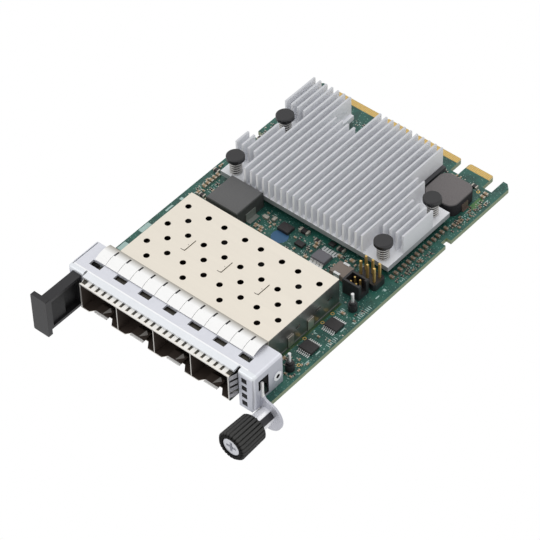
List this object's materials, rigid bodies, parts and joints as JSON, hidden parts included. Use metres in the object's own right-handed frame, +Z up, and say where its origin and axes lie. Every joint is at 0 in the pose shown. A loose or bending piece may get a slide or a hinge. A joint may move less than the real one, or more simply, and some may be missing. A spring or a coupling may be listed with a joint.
{
  "type": "mezzanine network card",
  "caption": "Server mezzanine network card with a ganged transceiver cage, folded front bracket, captive thumbscrew, pull tab and finned heatsink on a keyed card edge.",
  "frame": {"origin": "on the board's upper face, at the middle of the card edge's tip", "axes": "+X to the right seen from the ports, +Y back towards the card edge, +Z up from the component side"},
  "size_m": [0.0809, 0.1324, 0.0233],
  "materials": {
    "board_mask": "green solder mask over glass fibre board",
    "gold": "gold plate",
    "cage_metal": "nickel-plated sheet",
    "bracket_metal": "zinc-plated sheet",
    "spring_metal": "bright spring sheet",
    "clear_plastic": "clear moulding",
    "black_plastic": "fine moulded texture",
    "knob_black": "black coated",
    "steel": "plated steel",
    "heatsink_metal": "clear anodised",
    "chip_black": "moulded package",
    "thermal_grey": "soft pad",
    "core_grey": "pressed core",
    "tin": "tinned",
    "block_brown": "moulded case",
    "ceramic_tan": "fired ceramic"
  },
  "bodies": {
    "card": {"circuit_board": "board_mask", "edge_contacts": "gold", "cage_shell": "cage_metal", "cage_floor": "cage_metal", "cage_divider_1": "cage_metal", "cage_divider_2": "cage_metal", "cage_divider_3": "cage_metal", "port_connector_1": "black_plastic", "port_connector_2": "black_plastic", "port_connector_3": "black_plastic", "port_connector_4": "black_plastic", "mouth_springs": "spring_metal", "bracket": "bracket_metal", "bracket_screws": "steel", "ground_fingers": "spring_metal", "light_pipe": "clear_plastic", "pull_tab": "black_plastic", "thumbscrew_sleeve": "steel", "heatsink": "heatsink_metal", "network_chip": "chip_black", "thermal_pad": "thermal_grey", "pin_spring_1": "steel", "pin_spring_2": "steel", "pin_spring_3": "steel", "pin_spring_4": "steel", "inductor_left": "core_grey", "inductor_left_terminals": "tin", "inductor_rear": "core_grey", "inductor_rear_terminals": "tin", "capacitor_block": "block_brown", "capacitor_block_terminals": "tin", "header_base": "black_plastic", "header_pins": "gold", "shroud_shell": "black_plastic", "shroud_pins": "gold", "post_insulators": "black_plastic", "post_pins": "tin", "power_chip": "chip_black", "power_chip_leads": "tin", "edge_chips": "chip_black", "edge_chip_leads": "tin", "small_chips": "chip_black", "capacitors": "ceramic_tan", "capacitor_ends": "tin"},
    "thumbscrew_spring": {"thumbscrew_spring": "steel"},
    "thumbscrew": {"thumbscrew_knob": "knob_black", "thumbscrew_screw": "steel"},
    "push_pin_1": {"push_pin_1": "black_plastic"},
    "push_pin_2": {"push_pin_2": "black_plastic"},
    "push_pin_3": {"push_pin_3": "black_plastic"},
    "push_pin_4": {"push_pin_4": "black_plastic"}
  },
  "joints": [
    {"name": "thumbscrew_press", "type": "slide", "parent": "card", "child": "thumbscrew_spring", "axis": [0, 1, 0], "range_m": [0, 0.0024], "stiffness_N_per_m": 800, "deforming": ["thumbscrew_spring"]},
    {"name": "thumbscrew_turn", "type": "hinge", "parent": "thumbscrew_spring", "child": "thumbscrew", "pos_m": [0.0373, -0.125, -0.0049], "axis": [0, 1, 0], "continuous": true},
    {"name": "push_pin_1_press", "type": "slide", "parent": "card", "child": "push_pin_1", "axis": [0, 0, -1], "range_m": [0, 0.0015], "stiffness_N_per_m": 1500, "deforming": ["pin_spring_1"]},
    {"name": "push_pin_2_press", "type": "slide", "parent": "card", "child": "push_pin_2", "axis": [0, 0, -1], "range_m": [0, 0.0015], "stiffness_N_per_m": 1500, "deforming": ["pin_spring_2"]},
    {"name": "push_pin_3_press", "type": "slide", "parent": "card", "child": "push_pin_3", "axis": [0, 0, -1], "range_m": [0, 0.0015], "stiffness_N_per_m": 1500, "deforming": ["pin_spring_3"]},
    {"name": "push_pin_4_press", "type": "slide", "parent": "card", "child": "push_pin_4", "axis": [0, 0, -1], "range_m": [0, 0.0015], "stiffness_N_per_m": 1500, "deforming": ["pin_spring_4"]}
  ]
}
